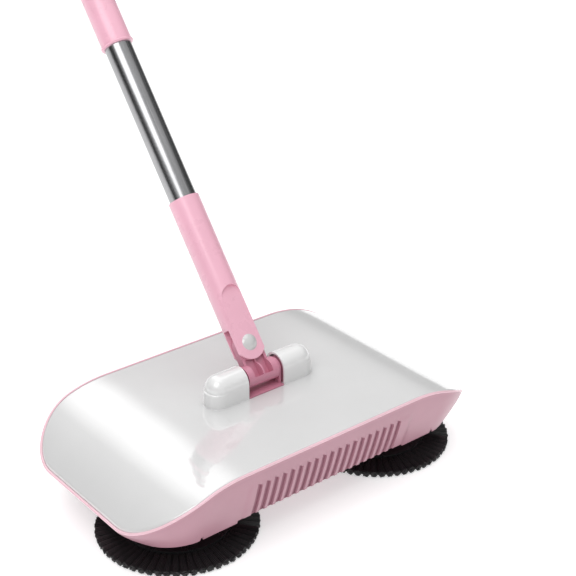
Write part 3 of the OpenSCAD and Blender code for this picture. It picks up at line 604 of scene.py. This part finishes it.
def disc_brush(side, name, node, body):
    low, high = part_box(node)
    cx = (low.x + high.x) / 2 / MM
    cy = ((low.y + high.y) / 2 - HEAD_Y) / MM
    top = high.z / MM
    rng = random.Random(11 if side > 0 else 23)
    g = Grid()
    tufts = 60
    for i in range(tufts):
        turn = 2 * math.pi * i / tufts
        out = Vector((math.cos(turn), math.sin(turn), 0))
        across = Vector((-math.sin(turn), math.cos(turn), 0))
        sway = rng.uniform(-0.5, 0.5)
        for k in range(19):
            layer = 0 if k == 0 else (1 if k < 7 else 2)
            ang = 2 * math.pi * (k - (1 if layer == 1 else 7)) / (6 if layer == 1 else 12) if layer else 0
            su, sv = math.cos(ang) * layer, math.sin(ang) * layer
            reach = 68.8 + rng.uniform(-0.5, 0.7) - 0.35 * layer
            path = []
            for t in (0, 0.35, 0.7, 1.0):
                rad = lerp(45.5, reach, t)
                z = lerp(top - 3.6, 2.9, t ** 1.15) + sv * lerp(0.9, 1.2, t)
                off = su * lerp(0.86, 1.2, t) + sway * t * t + rng.uniform(-0.05, 0.05)
                p = out * rad + across * off
                path.append((cx + p.x, cy + p.y, max(0.85, z)))
            filament(g, path, 0.58, 0.68)
    # The dense bed of short bristles behind the tufts
    bed = [(45.0, top - 1.2), (52.0, top - 4.6), (65.5, 4.0), (66.5, 1.6),
           (58.0, 2.4), (45.0, top - 7.0), (45.0, top - 1.2)]
    turns = [math.pi * k / 60 for k in range(120)]
    g.sheet([[(cx + r * math.cos(t), cy + r * math.sin(t), z) for t in turns] for r, z in bed], closed=True)
    piece(name, g.points, g.faces, "bristle", body, [node], 50)


def roller_tufts():
    low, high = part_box("roller_bristles")
    x0, x1 = low.x / MM, high.x / MM
    cy = ((low.y + high.y) / 2 - HEAD_Y) / MM
    cz = (low.z + high.z) / 2 / MM
    reach = (high.z - low.z) / 2 / MM
    c_low, c_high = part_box("roller_core")
    core = (c_high.z - c_low.z) / 2 / MM
    rng = random.Random(5)
    g = Grid()
    rows, count = 6, 24
    for row in range(rows):
        for i in range(count):
            x = lerp(x0 + 2, x1 - 2, i / (count - 1))
            turn = 2 * math.pi * row / rows + math.radians(70) * i / (count - 1)
            out = Vector((0, math.cos(turn), math.sin(turn)))
            across = Vector((0, -math.sin(turn), math.cos(turn)))
            for k in range(7):
                a = 2 * math.pi * k / 6
                s = 0 if k == 6 else 1
                path = []
                for t in (0, 0.5, 1.0):
                    rad = lerp(core - 0.5, reach - 0.3 - rng.uniform(0, 0.4), t)
                    p = out * rad + across * (math.sin(a) * s * lerp(0.8, 1.6, t))
                    path.append((x + math.cos(a) * s * lerp(0.8, 1.5, t), cy + p.y, cz + p.z))
                filament(g, path, 0.42, 0.46, 4)
    piece("roller_tufts", g.points, g.faces, "bristle", "roller", ["roller_bristles"], 50)


cover()
housing()
plate()
dome(-1, "left_dome", "left_hinge_cap")
dome(1, "right_dome", "right_hinge_cap")
disc_brush(-1, "left_tufts", "left_brush_bristles", "left_brush")
disc_brush(1, "right_tufts", "right_brush_bristles", "right_brush")
roller_tufts()

# ---------------------------------------------------------------- camera, floor, light

scene = bpy.context.scene
scene.view_settings.view_transform = "Standard"

AZ, EL = math.radians(-39.1), math.radians(25.9)
back = Vector((math.sin(AZ) * math.cos(EL), -math.cos(AZ) * math.cos(EL), math.sin(EL)))
right = Vector((math.cos(AZ), math.sin(AZ), 0))
up = back.cross(right)
cam_data = bpy.data.cameras.new("camera")
cam_data.sensor_width = 36
cam_data.lens = 1313.1 / 576 * 36
cam = bpy.data.objects.new("camera", cam_data)
spot = Vector((0, 0, 40)) + back * 1164.4 + right * 26.4 + up * 121.6
cam.location = place(spot)
cam.rotation_mode = "QUATERNION"
cam.rotation_quaternion = (-back).to_track_quat("-Z", "Y")
scene.collection.objects.link(cam)
scene.camera = cam

floor_mesh = bpy.data.meshes.new("floor")
REACH, BELOW = 60, -0.0004
floor_corners = [(sx * REACH, sy * REACH, BELOW) for sx, sy in ((-1, -1), (1, -1), (1, 1), (-1, 1))]
floor_mesh.from_pydata(floor_corners, [], [[0, 1, 2, 3]])
floor_obj = bpy.data.objects.new("floor", floor_mesh)
scene.collection.objects.link(floor_obj)
fn = Nodes("floor_pale")
fn.link(fn.ramp(fn.noise(1.5, 3.0), [(0.3, 0.80), (0.7, 0.82)]), fn.bsdf.inputs["Base Color"])
fn.set(Roughness=0.9, Specular_IOR_Level=0.1, Emission_Color=(1, 1, 1, 1), Emission_Strength=0.50)
floor_mesh.materials.append(fn.mat)

world = bpy.data.worlds.new("studio")
scene.world = world
world.use_nodes = True
wt = world.node_tree
sky = wt.nodes.new("ShaderNodeTexCoord").outputs["Generated"]


def grey_ramp(fac, stops, smoothly=False):
    r = wt.nodes.new("ShaderNodeValToRGB")
    if smoothly:
        r.color_ramp.interpolation = "EASE"
    els = r.color_ramp.elements
    els[0].position, els[1].position = stops[0][0], stops[-1][0]
    for pos, _ in stops[1:-1]:
        els.new(pos)
    for el, (_, v) in zip(els, stops):
        el.color = (v, v, v, 1)
    wt.links.new(fac, r.inputs["Fac"])
    return r.outputs["Color"]


def towards(direction):
    dot = wt.nodes.new("ShaderNodeVectorMath")
    dot.operation = "DOT_PRODUCT"
    dot.inputs[1].default_value = Vector(direction).normalized()
    wt.links.new(sky, dot.inputs[0])
    return dot.outputs["Value"]


def blend(mode, a, b):
    m = wt.nodes.new("ShaderNodeMix")
    m.data_type, m.blend_type = "RGBA", mode
    m.inputs[0].default_value = 1.0
    wt.links.new(a, m.inputs[6])
    wt.links.new(b, m.inputs[7])
    return m.outputs[2]


sep = wt.nodes.new("ShaderNodeSeparateXYZ")
wt.links.new(sky, sep.inputs[0])
stops = [(0.0, 0.75), (0.20, 0.50), (0.36, 0.95), (0.50, 1.05), (0.64, 1.15), (0.80, 1.3), (1.0, 0.9)]
light = grey_ramp(sep.outputs["Z"], stops)
# Dark cards to the left and right, for the handle's edges and the steel tube
light = blend("MULTIPLY", light, grey_ramp(towards((-0.80, 0.58, 0.0)), [(0.62, 1.0), (0.84, 0.15)]))
light = blend("MULTIPLY", light, grey_ramp(towards((0.95, -0.3, 0.05)), [(0.72, 1.0), (0.86, 0.25)]))
# A large softbox up behind the head, the broad light band on the cover's left slope
softbox = grey_ramp(towards((0.17, 0.70, 0.69)), [(0.93, 0.0), (1.0, 3.0)], True)
light = blend("ADD", light, softbox)
bg = wt.nodes["Background"]
wt.links.new(light, bg.inputs["Color"])
bg.inputs["Strength"].default_value = 0.55


def area(name, where, at, size, power):
    data = bpy.data.lights.new(name, "AREA")
    data.shape, data.size, data.size_y, data.energy = "RECTANGLE", size[0], size[1], power
    obj = bpy.data.objects.new(name, data)
    obj.location = where
    obj.rotation_mode = "QUATERNION"
    obj.rotation_quaternion = (Vector(at) - Vector(where)).to_track_quat("-Z", "Y")
    scene.collection.objects.link(obj)


area("key", (-1.3, HEAD_Y - 0.6, 2.0), (0, HEAD_Y, 0.1), (1.4, 1.4), 16)
area("top", (0.2, HEAD_Y + 0.3, 2.6), (0, HEAD_Y, 0.0), (2.2, 2.2), 20)
